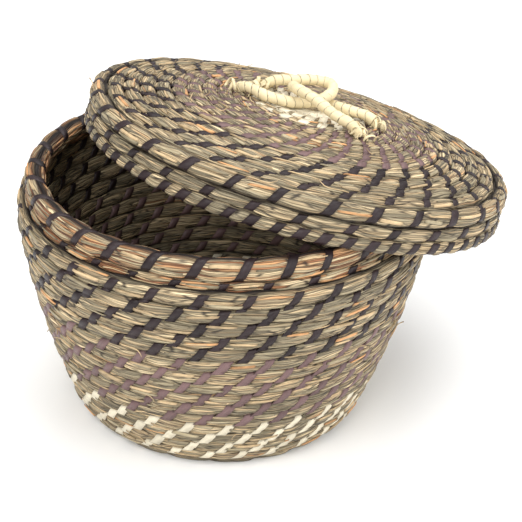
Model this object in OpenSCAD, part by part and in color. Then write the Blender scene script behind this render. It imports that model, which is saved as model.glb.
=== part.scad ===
// Coiled seagrass storage basket with a domed lid lying askew on its rim.
// Each round is a bundle of grass, sewn to the round before it with flat strips.
// Millimetres, +Z up, +X to the right, -Y to the front.
// The origin is the centre of the face that the base rests on.

/* [Basket] */
// Height of the basket without its lid
basket_height = 197; // [150:1:260]
// Radius of the rim, to the middle of its coil
rim_radius = 144; // [100:1:200]
// How far the widest round stands outside the rim round
belly_out = 8; // [0:0.5:14]
// How far the wall stands inside the rim round at mid height
middle_in = 4.5; // [0:0.5:20]
// How far the wall stands inside the rim round near the foot
lower_in = 22; // [5:0.5:40]
// How far the outermost base round stands inside the rim round
base_in = 38; // [15:0.5:60]
// Spacing of the wall rounds, along the wall
wall_pitch_wanted = 11.5; // [9:0.25:16]
// Spacing of the base rounds
base_pitch_wanted = 11; // [9:0.25:16]
// Thickness of the rim coil
rim_coil = 15; // [10:0.5:20]
// Thickness of the thin coil under the rim
band_coil = 7; // [5:0.5:10]

/* [Lid] */
// Gap between the rim and the lid's bottom coil when the lid is on
lid_gap = 4.5; // [2:0.25:10]
// Thickness of the lid's bottom coil
hem_coil = 10.6; // [7:0.2:14]
// Thickness of the lid's side coil
side_coil = 9.6; // [7:0.2:15]
// Thickness of the coil round the lid's shoulder
shoulder_coil = 12.6; // [10:0.2:20]
// Rise of the lid's middle over its shoulder
dome_rise = 19; // [5:0.5:30]
// Spacing of the rounds on the lid's top
lid_pitch_wanted = 11.7; // [9:0.1:16]

/* [Resting place of the lid] */
// How far the lid has slid to the right, as a share of the rim radius
slide_right = 0.355; // [0:0.005:0.45]
// How far the lid has slid to the back, as a share of the rim radius
slide_back = 0.245; // [0:0.005:0.45]
// Slope of the lid, in degrees
lid_slope = 13.9; // [0:0.1:20]
// Direction that the lid slopes down to, in degrees from +X
slope_toward = 35; // [0:1:90]
// Gap left between the lid's strips and the basket's strips where they meet
rest_gap = 0.5; // [0.4:0.05:1]

/* [Stitching] */
// Stitches in a round
stitches = 30; // [20:1:40]
// Stitches in the rounds at the middle of the lid and base
few_stitches = 20; // [12:1:30]
// Width of a strip
strip_width = 6.4; // [4:0.2:9]
// Thickness of a strip
strip_thick = 0.8; // [0.5:0.1:1.2]
// How deep a strip presses into its coil
strip_bite = 0.4; // [0.3:0.05:0.8]
// Lean of a stitch, in degrees
stitch_lean = 38; // [15:1:50]
// Step of the stitches from one round to the next, as a share of their spacing
stitch_step = 0.48; // [0.2:0.02:0.6]

/* [Handle] */
// Size of the handle, as a share of its usual 104 mm from foot to foot
handle_size = 1; // [0.95:0.01:1.3]
// Thickness of the rope without its wrapping
rope = 6.8; // [5:0.2:9]
// Thickness of the strip wrapped round the rope
wrap_thick = 0.9; // [0.5:0.1:1.3]
// Handle's direction on the lid, in degrees from +X
handle_turn = -21; // [-45:1:45]
// Handle's place behind the middle of the lid
handle_back = 2; // [0:1:20]

/* [Hidden] */
// Neighbouring rounds press into each other by this much.
squeeze = 0.7;
// The coil is pressed flat by this much where it rests.
rest_flat = 0.6;
rim_r = rim_coil / 2;
band_r = band_coil / 2;
hem_r = hem_coil / 2;
side_r = side_coil / 2;
shoulder_r = shoulder_coil / 2;
base_radius = rim_radius - base_in;
// Share of the rounds in each colour, up the wall and in from the lid's shoulder.
// The wall ends dark, and the lid ends cream.
wall_cream = 0.27;
wall_mauve = 0.4;
top_dark = 0.33;
top_mauve = 0.42;
// The hole left in the middle of the spiral.
eye = 0.2;
// Stitches in the last three rounds round the knot in the base.
knot_stitches = 8;
// The parts of a coil that a strip covers, in degrees from straight outward toward the top.
wall_arc = [-62, 62];
band_arc = [-40, 40];
rim_arc = [-60, 175];
hem_arc = [-115, 55];
side_arc = [-58, 58];
shoulder_arc = [-50, 110];
top_arc = [35, 145];

// Wall: the coil's middle follows this outline, from the base round to the top wall round.
// A point is [share of the way up, distance inside the rim round].
foot_z = base_pitch_wanted / 2 + squeeze / 2 - rest_flat;
rim_z = basket_height - rim_r;
band_z = rim_z - rim_r - band_r + squeeze;
top_wall_z = band_z - band_r - wall_pitch_wanted / 2 + squeeze;
wall_tall = top_wall_z - foot_z;
up_the_wall = [
  [0, base_in], [0.06, 0.8 * base_in], [0.2, lower_in], [0.36, 0.6 * lower_in],
  [0.55, middle_in], [0.75, -0.35 * belly_out], [0.94, -belly_out], [1, -0.95 * belly_out],
];
outline = [for (p = up_the_wall) [rim_radius - p[1], foot_z + p[0] * wall_tall]];
function run(i) = i == 0 ? 0 : run(i - 1) + norm(outline[i] - outline[i - 1]);
outline_r = [for (i = [0:len(outline) - 1]) [run(i), outline[i][0]]];
outline_z = [for (i = [0:len(outline) - 1]) [run(i), outline[i][1]]];
wall_length = run(len(outline) - 1);
wall_rounds = round(wall_length / wall_pitch_wanted);
wall_pitch = wall_length / wall_rounds;
wall_r = wall_pitch / 2 + squeeze / 2;
cream_rounds = round(wall_cream * wall_rounds);
mauve_rounds = round(wall_mauve * wall_rounds);
band_radius = (rim_radius + outline[len(outline) - 1][0]) / 2;
function wall_round(i) = [lookup(i * wall_pitch, outline_r), lookup(i * wall_pitch, outline_z), wall_r];

// Base: rounds from the middle out to the base round.
base_r = base_pitch_wanted / 2 + squeeze / 2;
base_rounds = round((base_radius - base_r) / base_pitch_wanted);
base_pitch = (base_radius - base_r - eye) / base_rounds;
function base_round(i) = [base_radius - i * base_pitch, foot_z, base_r];

// Lid, in its own frame: the middle of its lower face is [0, 0, 0].
hem_radius = rim_radius + rim_r + lid_gap + hem_r;
hem_z = hem_r;
side_z = hem_z + hem_r + side_r - squeeze;
shoulder_z = side_z + side_r + shoulder_r - squeeze;
// The side and the shoulder stand in from the bottom coil by these.
side_in = 0.4;
shoulder_in = 1.6;
side_radius = hem_radius - side_in;
shoulder_radius = hem_radius - shoulder_in;
lid_outer = shoulder_radius - shoulder_r - lid_pitch_wanted / 2 + squeeze / 2;
lid_rounds = round((lid_outer - lid_pitch_wanted / 2) / lid_pitch_wanted);
lid_r = lid_pitch_wanted / 2 + squeeze / 2;
lid_dark = round(top_dark * lid_rounds);
lid_mauve = round(top_mauve * lid_rounds);
lid_pitch = (lid_outer - lid_r - eye) / lid_rounds;
function dome(r) = shoulder_z + shoulder_r - lid_r + dome_rise * (1 - pow(r / shoulder_radius, 2));
function lid_round(i) = [lid_outer - i * lid_pitch, dome(lid_outer - i * lid_pitch), lid_r];
lid_height = dome(0) + lid_r;

// Resting place: the lid comes straight down until it meets the basket.
lid_x = slide_right * rim_radius;
lid_y = slide_back * rim_radius;
slope_axis = [-sin(slope_toward), cos(slope_toward), 0];
function across(v) =
  v * cos(lid_slope) + cross(slope_axis, v) * sin(lid_slope)
  + slope_axis * (slope_axis * v) * (1 - cos(lid_slope));
function back(v) =
  v * cos(lid_slope) - cross(slope_axis, v) * sin(lid_slope)
  + slope_axis * (slope_axis * v) * (1 - cos(lid_slope));
function near(p) = let (q = back([p[0] - lid_x, p[1] - lid_y, 0])) atan2(q[1], q[0]);
function on_lid(c, a) = across([c[0] * cos(a), c[0] * sin(a), c[1]]) + [lid_x, lid_y, 0];
function lift_over(p, q, apart) =
  norm([p[0] - q[0], p[1] - q[1]]) >= apart ? -1000
  : p[2] - q[2] + sqrt(pow(apart, 2) - pow(p[0] - q[0], 2) - pow(p[1] - q[1], 2));
function touch(b, c, strips) = let (apart = b[2] + c[2] + strips * strip_thick + rest_gap) max([
  for (a = [0:1:359])
    let (p = [b[0] * cos(a), b[0] * sin(a), b[1]], n = near(p))
      max([for (d = [-6:1.5:6]) lift_over(p, on_lid(c, n + d), apart)])
]);
basket_tops = [
  [rim_radius, rim_z, rim_r],
  [band_radius, band_z, band_r],
  wall_round(wall_rounds),
];
lid_edge = [
  [hem_radius, hem_z, hem_r],
  [side_radius, side_z, side_r],
  [shoulder_radius, shoulder_z, shoulder_r],
];
lid_tops = [for (i = [0:lid_rounds]) lid_round(i)];
lid_z = max(
  max([for (b = basket_tops) for (c = lid_edge) touch(b, c, 2)]),
  max([for (b = basket_tops) for (c = lid_tops) touch(b, c, 1)])
);

// Handle, in its own frame: +X from the left feet to the right feet, and z = 0 at the lid's top.
// Each loop is a rope from foot to foot. The left one goes under the right one in front
// and over it behind, so that the two are hooked together.
rope_r = rope / 2;
wrap_r = rope_r + wrap_thick;
rope_sides = 16;
loop_turns = 26;
// The gap between one turn of the wrapping and the next, and how far a turn grips the rope.
turn_gap = 0.5;
grip = 0.2;
// Each foot is lashed down by two cords of this radius, this far apart, at this share of the first turn.
lash_r = 1;
lash_apart = 2.1;
lash_at = 0.38;
// The points of the loops suit a wrapped rope of this radius, on a dome that falls by this much
// times the square of the distance from its middle. Their heights follow the rope and the dome.
drawn_r = 4.3;
drawn_fall = 0.000745;
fall = dome_rise / pow(shoulder_radius, 2);
// The feet end at this height, which is this far over the middle of the lid's coil.
foot_over = 3.7;
foot = foot_over - lid_r;
// The handle's feet are sunk into the lid's top by this much.
sunk = 0.3;
left_knots = [
  [-56, -20, -9], [-52, -20, foot], [-44, -26, 4.5], [-26, -32, 4.5], [-8, -27, 4.5],
  [6, -14, 7], [13, 4, 12.5], [9, 18, 16.5], [-4, 20, 16], [-20, 14, 12],
  [-36, 10, 6.5], [-44, 12, foot], [-47, 12, -9],
];
right_knots = [
  [56, -30, -9], [52, -29, foot], [45, -31, 4.5], [30, -33, 8.5], [12, -31, 14],
  [-5, -26, 16], [-12, -12, 13], [-6, 4, 7], [8, 8, 4.5], [28, 8, 4.5],
  [46, 9, 4.5], [54, 12, foot], [57, 12, -9],
];
function unit(v) = v / norm(v);
function spline(p, i, t) =
  (p[i] * 2 + (p[i + 1] - p[i - 1]) * t
   + (p[i - 1] * 2 - p[i] * 5 + p[i + 1] * 4 - p[i + 2]) * t * t
   + (p[i] * 3 - p[i - 1] - p[i + 1] * 3 + p[i + 2]) * t * t * t) / 2;
function along(p, u) = let (n = len(p) - 3, i = min(floor(u * n), n - 1)) spline(p, i + 1, u * n - i);
function route(knots, steps) = [
  for (k = [0:steps]) let (q = handle_size * along(knots, k / steps))
    [q[0], q[1], q[2] * wrap_r / drawn_r + (drawn_fall - fall) * (pow(q[0], 2) + pow(q[1], 2))]
];
function heading(p, i) = unit(p[min(i + 1, len(p) - 1)] - p[max(i - 1, 0)]);
function beside(v, t) = unit(v - t * (v * t));
// A direction square to the rope at each point, carried along so that the rope doesn't twist.
function flanks(p) = [
  for (i = 0, n = beside([0, 1, 0], heading(p, 0)); i < len(p); i = i + 1, n = beside(n, heading(p, i))) n
];

straw = [0.74, 0.66, 0.48];
gold = [0.78, 0.66, 0.42];
dark = [0.26, 0.21, 0.23];
mauve = [0.50, 0.39, 0.40];
cream = [0.86, 0.82, 0.68];

// A closed round: place is [radius, height, half its thickness].
module coil(place)
  translate([0, 0, place[1]]) rotate_extrude($fn = 96)
    translate([place[0], 0]) circle(r = place[2], $fn = 32);

// One strip laid over a round at an angle round the part, covering one arc of the coil.
module stitch(place, at, arc, lean)
  rotate([0, 0, at]) translate([place[0], 0, place[1]]) rotate([90 - lean, 0, 0])
    rotate([0, 0, arc[0]]) rotate_extrude(angle = arc[1] - arc[0], $fn = 48)
      translate([place[2] - strip_bite, -strip_width / 2])
        square([strip_thick + strip_bite, strip_width]);

module stitch_round(place, count, shift, arc, lean = stitch_lean)
  for (k = [0:count - 1]) stitch(place, 360 * (k + shift) / count, arc, lean);

module lid_place() translate([lid_x, lid_y, lid_z]) rotate(a = lid_slope, v = slope_axis) children();

// ---- basket ----
// The rounds of the base and the knot where the coil starts, pressed flat underneath.
module base_coil() color(straw) difference() {
  union() {
    for (i = [0:base_rounds]) coil(base_round(i));
    cylinder(r = base_r, h = foot_z + 0.8 * base_r);
  }
  translate([0, 0, -base_r]) cylinder(r = rim_radius, h = base_r);
}

module base_stitches() color(cream)
  for (i = [1:base_rounds - 1]) let (count = i < base_rounds - 3 ? few_stitches : knot_stitches)
    stitch_round(base_round(i), count, stitch_step * i, top_arc, 0);

module wall_coil(first, last) for (i = [first:last]) coil(wall_round(i));

module wall_stitches(first, last) for (i = [first:last])
  stitch_round(wall_round(i), stitches, stitch_step * i, wall_arc);

module wall_coil_lower() color(straw) wall_coil(1, cream_rounds);

module wall_stitches_cream() color(cream) wall_stitches(1, cream_rounds);

module wall_coil_middle() color(straw) wall_coil(cream_rounds + 1, cream_rounds + mauve_rounds);

module wall_stitches_mauve() color(mauve)
  wall_stitches(cream_rounds + 1, cream_rounds + mauve_rounds);

module wall_coil_upper() color(straw) wall_coil(cream_rounds + mauve_rounds + 1, wall_rounds);

module wall_stitches_dark() color(dark)
  wall_stitches(cream_rounds + mauve_rounds + 1, wall_rounds);

module band_coil_thin() color(gold) coil([band_radius, band_z, band_r]);

module band_stitches() color(dark)
  stitch_round([band_radius, band_z, band_r], stitches, stitch_step * (wall_rounds + 1), band_arc);

module rim_coil_thick() color(gold) coil([rim_radius, rim_z, rim_r]);

module rim_stitches() color(dark)
  stitch_round([rim_radius, rim_z, rim_r], stitches, stitch_step * (wall_rounds + 2), rim_arc);

// ---- lid ----
module lid_coil_hem() color(straw) lid_place() coil([hem_radius, hem_z, hem_r]);

module lid_stitches_hem() color(dark) lid_place()
  stitch_round([hem_radius, hem_z, hem_r], 2 * stitches, 0, hem_arc);

module lid_coil_side() color(straw) lid_place() coil([side_radius, side_z, side_r]);

module lid_stitches_side() color(dark) lid_place()
  stitch_round([side_radius, side_z, side_r], stitches, 0.5, side_arc);

module lid_coil_shoulder() color(gold) lid_place() coil([shoulder_radius, shoulder_z, shoulder_r]);

module lid_stitches_shoulder() color(dark) lid_place()
  stitch_round([shoulder_radius, shoulder_z, shoulder_r], stitches, 0.5 + stitch_step, shoulder_arc);

module lid_coils(first, last) for (i = [first:last]) coil(lid_round(i));

module lid_stitches(first, last, count) for (i = [first:last])
  stitch_round(lid_round(i), count, 0.5 + stitch_step * (i + 2), top_arc, stitch_lean / 2);

module lid_coil_outer() color(straw) lid_place() lid_coils(0, lid_dark - 1);

module lid_stitches_dark() color(dark) lid_place() lid_stitches(0, lid_dark - 1, stitches);

module lid_coil_middle() color(straw) lid_place() lid_coils(lid_dark, lid_dark + lid_mauve - 1);

module lid_stitches_mauve() color(mauve) lid_place()
  lid_stitches(lid_dark, lid_dark + lid_mauve - 1, stitches);

module lid_coil_centre() color(straw) lid_place() lid_coils(lid_dark + lid_mauve, lid_rounds);

module lid_stitches_cream() color(cream) lid_place()
  lid_stitches(lid_dark + lid_mauve, lid_rounds - 2, few_stitches);

// ---- handle ----
module handle_place() lid_place()
  translate([0, handle_back, lid_height - sunk]) rotate([0, 0, handle_turn]) children();

// Stands something along the line from one point to the next.
module from_to(a, b) let (d = b - a, h = norm(d))
  translate(a) rotate([0, acos(d[2] / h), atan2(d[1], d[0])]) children();

module rope_loop(knots) {
  p = route(knots, 2 * loop_turns);
  n = flanks(p);
  rings = len(p);
  points = [
    for (i = [0:rings - 1]) for (k = [0:rope_sides - 1])
      let (a = 360 * k / rope_sides)
        p[i] + rope_r * (cos(a) * n[i] + sin(a) * cross(heading(p, i), n[i]))
  ];
  sides = [
    for (i = [0:rings - 2]) for (k = [0:rope_sides - 1])
      let (a = i * rope_sides, next = (k + 1) % rope_sides)
        [a + k, a + rope_sides + k, a + rope_sides + next, a + next]
  ];
  first = [for (k = [0:rope_sides - 1]) k];
  last = [for (k = [rope_sides - 1:-1:0]) (rings - 1) * rope_sides + k];
  polyhedron(points, concat([first], sides, [last]));
}

// How much shorter a turn is for each mm of its radius, where the rope bends at this point.
function corner(p, i) =
  let (a = unit(p[i] - p[i - 1]), b = unit(p[i + 1] - p[i])) norm(b - a) / norm(b + a);

// One turn of the flat strip: a short sleeve that grips the rope.
module turn(h) difference() {
  cylinder(r = wrap_r, h = h, $fn = 48);
  translate([0, 0, -1]) cylinder(r = rope_r - grip, h = h + 2, $fn = 48);
}

module wrapping(knots) {
  p = route(knots, loop_turns);
  for (k = [1:loop_turns - 2]) {
    start = turn_gap / 2 + wrap_r * corner(p, k);
    end = turn_gap / 2 + wrap_r * corner(p, k + 1);
    from_to(p[k], p[k + 1]) translate([0, 0, start]) turn(norm(p[k + 1] - p[k]) - start - end);
  }
}

// Two turns of strip round each foot, down on the lid.
module lashing(knots) {
  p = route(knots, loop_turns);
  for (ends = [[p[0], p[1]], [p[loop_turns], p[loop_turns - 1]]])
    from_to(ends[0], ends[1]) translate([0, 0, lash_at * norm(ends[1] - ends[0])])
      for (z = [-lash_apart / 2, lash_apart / 2]) translate([0, 0, z]) rotate_extrude($fn = 48)
        translate([rope_r + lash_r - grip, 0]) circle(r = lash_r, $fn = 24);
}

module handle_rope_left() color(cream) handle_place() rope_loop(left_knots);

module handle_rope_right() color(cream) handle_place() rope_loop(right_knots);

module handle_wrap_left() color(cream) handle_place() wrapping(left_knots);

module handle_wrap_right() color(cream) handle_place() wrapping(right_knots);

module handle_lashing_left() color(cream) handle_place() lashing(left_knots);

module handle_lashing_right() color(cream) handle_place() lashing(right_knots);

base_coil();
base_stitches();
wall_coil_lower();
wall_stitches_cream();
wall_coil_middle();
wall_stitches_mauve();
wall_coil_upper();
wall_stitches_dark();
band_coil_thin();
band_stitches();
rim_coil_thick();
rim_stitches();
lid_coil_hem();
lid_stitches_hem();
lid_coil_side();
lid_stitches_side();
lid_coil_shoulder();
lid_stitches_shoulder();
lid_coil_outer();
lid_stitches_dark();
lid_coil_middle();
lid_stitches_mauve();
lid_coil_centre();
lid_stitches_cream();
handle_rope_left();
handle_wrap_left();
handle_lashing_left();
handle_rope_right();
handle_wrap_right();
handle_lashing_right();
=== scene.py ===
"""Coiled seagrass storage basket, its domed lid lying askew on the rim."""

import math
import random

import bmesh
import bpy
import numpy as np
from bpy.props import FloatProperty, FloatVectorProperty, IntProperty, PointerProperty
from mathutils import Matrix, Quaternion, Vector


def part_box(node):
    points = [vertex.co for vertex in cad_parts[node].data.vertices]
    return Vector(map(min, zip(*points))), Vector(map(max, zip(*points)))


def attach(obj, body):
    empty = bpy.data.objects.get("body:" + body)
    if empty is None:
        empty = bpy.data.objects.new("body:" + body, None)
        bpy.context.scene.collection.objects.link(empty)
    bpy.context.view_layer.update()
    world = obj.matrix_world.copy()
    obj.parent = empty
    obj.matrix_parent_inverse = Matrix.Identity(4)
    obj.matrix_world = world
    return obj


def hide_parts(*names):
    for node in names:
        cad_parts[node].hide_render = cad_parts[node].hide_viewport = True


bl_info = {
    "name": "Seagrass Storage Basket",
    "version": (1, 0, 0),
    "blender": (4, 5, 0),
    "location": "View3D > Sidebar > Basket",
    "description": "Builds a coiled seagrass basket with a lid and a looped handle",
    "category": "Add Mesh",
}

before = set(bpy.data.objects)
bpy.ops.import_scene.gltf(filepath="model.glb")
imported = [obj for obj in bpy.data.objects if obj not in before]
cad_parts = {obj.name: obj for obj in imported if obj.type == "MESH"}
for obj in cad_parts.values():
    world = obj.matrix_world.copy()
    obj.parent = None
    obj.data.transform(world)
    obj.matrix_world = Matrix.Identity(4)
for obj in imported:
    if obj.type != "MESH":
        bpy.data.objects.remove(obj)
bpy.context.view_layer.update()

# How the lid lies: its slope, and the direction that it slopes down to.
LID_SLOPE = math.radians(13.9)
SLOPE_TOWARD = math.radians(35)
UP = Vector((0, 0, 1))
LID_UP = Vector(
    (
        math.sin(LID_SLOPE) * math.cos(SLOPE_TOWARD),
        math.sin(LID_SLOPE) * math.sin(SLOPE_TOWARD),
        math.cos(LID_SLOPE),
    )
)


def ring(node, axis):
    """The middle, radius and half thickness of a CAD coil that is one round."""
    lo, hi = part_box(node)
    half = (hi - lo) / 2
    across = math.sqrt(1 - axis.x**2)
    along = math.sqrt(1 - axis.z**2)
    radius = (half.x - half.z) / (across - along)
    return (lo + hi) / 2, radius, half.x - radius * across


RIM_MIDDLE, RIM_RADIUS, RIM_HALF = ring("rim_coil_thick", UP)
BAND_MIDDLE, BAND_RADIUS, BAND_HALF = ring("band_coil_thin", UP)
HEM_MIDDLE, HEM_RADIUS, HEM_HALF = ring("lid_coil_hem", LID_UP)
SIDE_MIDDLE, SIDE_RADIUS, SIDE_HALF = ring("lid_coil_side", LID_UP)
SHOULDER_MIDDLE, SHOULDER_RADIUS, SHOULDER_HALF = ring("lid_coil_shoulder", LID_UP)

# Coils pressed flat by this much where the basket stands, and into each other by this much.
REST_FLAT = 0.0006
SQUEEZE = 0.0007
BASE_HALF = (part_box("base_coil")[1].z + REST_FLAT) / 2
BASE_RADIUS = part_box("base_coil")[1].x - BASE_HALF
BASE_ROUNDS = 9
BASE_PITCH = (BASE_RADIUS - BASE_HALF) / BASE_ROUNDS
BASE_Z = BASE_HALF - REST_FLAT

# The wall's outline: [share of the way up, distance inside the rim round].
LOWER_IN = 0.022
MIDDLE_IN = 0.0045
BELLY_OUT = 0.008
WALL_ROUNDS = 15
CREAM_ROUNDS = 4
MAUVE_ROUNDS = 6
WALL_HALF = 0.00613
WALL_TOP_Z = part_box("wall_coil_upper")[1].z - WALL_HALF
BASE_IN = RIM_RADIUS - BASE_RADIUS
UP_THE_WALL = (
    (0, BASE_IN),
    (0.06, 0.8 * BASE_IN),
    (0.2, LOWER_IN),
    (0.36, 0.6 * LOWER_IN),
    (0.55, MIDDLE_IN),
    (0.75, -0.35 * BELLY_OUT),
    (0.94, -BELLY_OUT),
    (1, -0.95 * BELLY_OUT),
)

# The lid's own frame: the middle of its lower face, with z along its axis.
LID_FRAME = Matrix.Translation(HEM_MIDDLE - LID_UP * HEM_HALF) @ Matrix.Rotation(
    LID_SLOPE, 4, Vector((-math.sin(SLOPE_TOWARD), math.cos(SLOPE_TOWARD), 0))
)
SIDE_Z = HEM_HALF + (SIDE_MIDDLE - HEM_MIDDLE).length
SHOULDER_Z = HEM_HALF + (SHOULDER_MIDDLE - HEM_MIDDLE).length
LID_HALF = 0.0062
LID_ROUNDS = 12
LID_DARK = 4
LID_MAUVE = 5
DOME_RISE = 0.019
LID_OUTER = SHOULDER_RADIUS - SHOULDER_HALF - LID_HALF + SQUEEZE
LID_PITCH = (LID_OUTER - LID_HALF) / LID_ROUNDS
LID_HEIGHT = SHOULDER_Z + SHOULDER_HALF + DOME_RISE

# The handle: two ropes hooked together, each from foot to foot, in metres on the lid's top.
HANDLE_TURN = math.radians(-21)
HANDLE_BACK = 0.002
HANDLE_FRAME = (
    LID_FRAME
    @ Matrix.Translation((0, HANDLE_BACK, LID_HEIGHT - 0.0003))
    @ Matrix.Rotation(HANDLE_TURN, 4, "Z")
)
ROPE_HALF = 0.0034
WRAP_TURNS = 26
LEFT_ROUTE = (
    (-0.056, -0.020, -0.009), (-0.052, -0.020, -0.0025), (-0.044, -0.026, 0.0045),
    (-0.026, -0.032, 0.0045), (-0.008, -0.027, 0.0045), (0.006, -0.014, 0.007),
    (0.013, 0.004, 0.0125), (0.009, 0.018, 0.0165), (-0.004, 0.020, 0.016),
    (-0.020, 0.014, 0.012), (-0.036, 0.010, 0.0065), (-0.044, 0.012, -0.0025),
    (-0.047, 0.012, -0.009),
)
RIGHT_ROUTE = (
    (0.056, -0.030, -0.009), (0.052, -0.029, -0.0025), (0.045, -0.031, 0.0045),
    (0.030, -0.033, 0.0085), (0.012, -0.031, 0.014), (-0.005, -0.026, 0.016),
    (-0.012, -0.012, 0.013), (-0.006, 0.004, 0.007), (0.008, 0.008, 0.0045),
    (0.028, 0.008, 0.0045), (0.046, 0.009, 0.0045), (0.054, 0.012, -0.0025),
    (0.057, 0.012, -0.009),
)

# The camera: what it looks at, from how far, how far down, and its lens and roll.
LOOK_AT = Vector((0.0304, 0, 0.1161))
LOOK_FROM = 1.1
LOOK_DOWN = math.radians(29.58)
CAMERA_LENS = 95.9
CAMERA_ROLL = math.radians(3.09)
LIGHTS_AIM = Vector((0.03, 0, 0.116))
# The floor lies this far under the base, so that their faces don't coincide.
FLOOR_DROP = 0.0003


def paint(red, green, blue):
    """A colour given in 0-255 screen values, as the linear values that shaders take."""
    return tuple(((c / 255 + 0.055) / 1.055) ** 2.4 for c in (red, green, blue))


def colour(name, description, *values):
    return FloatVectorProperty(
        name=name, description=description, default=paint(*values), subtype="COLOR", min=0, max=1
    )


class SeagrassSizes(bpy.types.PropertyGroup):
    """Sizes of the sewing and the straw"""

    stitches: IntProperty(
        name="Stitches", description="Stitches in a round of the wall", default=30, min=20, max=40
    )
    few_stitches: IntProperty(
        name="Few stitches", description="Stitches in a round near the middle", default=20, min=12, max=30
    )
    stitch_step: FloatProperty(
        name="Step", description="Step of the stitches from round to round, as a share of their spacing",
        default=0.48, min=0.2, max=0.6,
    )
    lean: FloatProperty(
        name="Lean", description="Lean of a stitch", default=math.radians(31), subtype="ANGLE", unit="ROTATION"
    )
    strip_width: FloatProperty(
        name="Strip width", description="Width of a sewing strip", default=0.0062, unit="LENGTH"
    )
    strip_thickness: FloatProperty(
        name="Strip thickness", description="Thickness of a sewing strip", default=0.0006, unit="LENGTH"
    )
    bulge: FloatProperty(
        name="Bulge", description="How far the straw swells between stitches", default=0.0007, unit="LENGTH"
    )
    pinch: FloatProperty(
        name="Pinch", description="How deep a stitch pulls into the straw", default=0.0007, unit="LENGTH"
    )
    ridge: FloatProperty(
        name="Ridge", description="Height of the ridges that the straw blades make",
        default=0.0006, unit="LENGTH",
    )
    blade_width: FloatProperty(
        name="Blade width", description="Width of a straw blade", default=0.0013, unit="LENGTH"
    )
    blade_length: FloatProperty(
        name="Blade length", description="Length of a straw blade on show", default=0.03, unit="LENGTH"
    )


class SeagrassColours(bpy.types.PropertyGroup):
    """Colours of the straw and the strips"""

    straw: colour("Straw", "Most of the straw", 184, 160, 124)
    pale: colour("Pale straw", "The palest blades", 214, 194, 156)
    amber: colour("Amber straw", "The warm blades", 196, 148, 102)
    rust: colour("Rust straw", "The darkest warm blades", 138, 92, 62)
    sage: colour("Sage straw", "The greenish blades", 150, 138, 112)
    # Painted shade: the dark colour mixed in at the cracks between blades, the grooves between rounds, the ends
    # of strips and blades and the laps of the handle.
    painted_shade: colour("Cracks", "Between the blades", 30, 22, 18)
    dark: colour("Dark strip", "Strips of the upper wall and the lid's edge", 42, 31, 33)
    mauve: colour("Mauve strip", "Strips of the middle zone", 112, 88, 87)
    cream: colour("Cream strip", "Strips of the foot and the lid's middle", 222, 212, 188)
    handle: colour("Handle strip", "Strip wrapped round the handle", 224, 208, 168)
    floor: colour("Floor", "The floor", 245, 245, 244)


def sizes():
    return bpy.context.scene.seagrass_sizes


def colours():
    return bpy.context.scene.seagrass_colours


# ---- materials ----


def group_with(name, inputs, outputs):
    """A new node group with its inputs and outputs, and the nodes at its two ends."""
    group = bpy.data.node_groups.new(name, "ShaderNodeTree")
    for label, kind, default in inputs:
        socket = group.interface.new_socket(label, in_out="INPUT", socket_type="NodeSocket" + kind)
        if default is not None:
            socket.default_value = default
    for label, kind in outputs:
        group.interface.new_socket(label, in_out="OUTPUT", socket_type="NodeSocket" + kind)
    return group, group.nodes.new("NodeGroupInput"), group.nodes.new("NodeGroupOutput")


def add_node(tree, kind, settings=None, **inputs):
    """A node with its settings, whose inputs are linked to sockets or set to values."""
    node = tree.nodes.new("ShaderNode" + kind)
    for key, value in (settings or {}).items():
        setattr(node, key, value)
    for key, value in inputs.items():
        socket = node.inputs[int(key[1:])] if key[1:].isdigit() else node.inputs[key.replace("_", " ")]
        if isinstance(value, bpy.types.NodeSocket):
            tree.links.new(value, socket)
        else:
            socket.default_value = value
    return node


def sum_of(tree, operation, first, second, third=0.0):
    return add_node(tree, "Math", {"operation": operation}, i0=first, i1=second, i2=third).outputs[0]


def stretched(tree, vector, along, across):
    """The vector with its first and second parts counted in these lengths."""
    return add_node(
        tree, "Mapping", {"vector_type": "POINT"}, Vector=vector, Scale=(1 / along, 1 / across, 1)
    ).outputs[0]


def noise(tree, vector, detail=2.0, roughness=0.5):
    return add_node(
        tree, "TexNoise", {"noise_dimensions": "2D"},
        Vector=vector, Scale=1.0, Detail=detail, Roughness=roughness,
    ).outputs["Fac"]


def mixed(tree, factor, first, second, blend="MIX"):
    node = add_node(tree, "Mix", {"data_type": "RGBA", "blend_type": blend}, i0=factor, i6=first, i7=second)
    return node.outputs[2]


def between(tree, value, low, high):
    """From 0 at the low value to 1 at the high one, with soft ends."""
    return add_node(
        tree, "MapRange", {"interpolation_type": "SMOOTHSTEP"}, Value=value, i1=low, i2=high
    ).outputs[0]


def ramp(tree, value, stops):
    """A colour picked along these (position, colour) stops."""
    node = add_node(tree, "ValToRGB", Fac=value)
    elements = node.color_ramp.elements
    elements.remove(elements[1])
    elements[0].position, elements[0].color = stops[0][0], (*stops[0][1], 1)
    for position, shade in stops[1:]:
        elements.new(position).color = (*shade, 1)
    return node.outputs[0]


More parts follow.
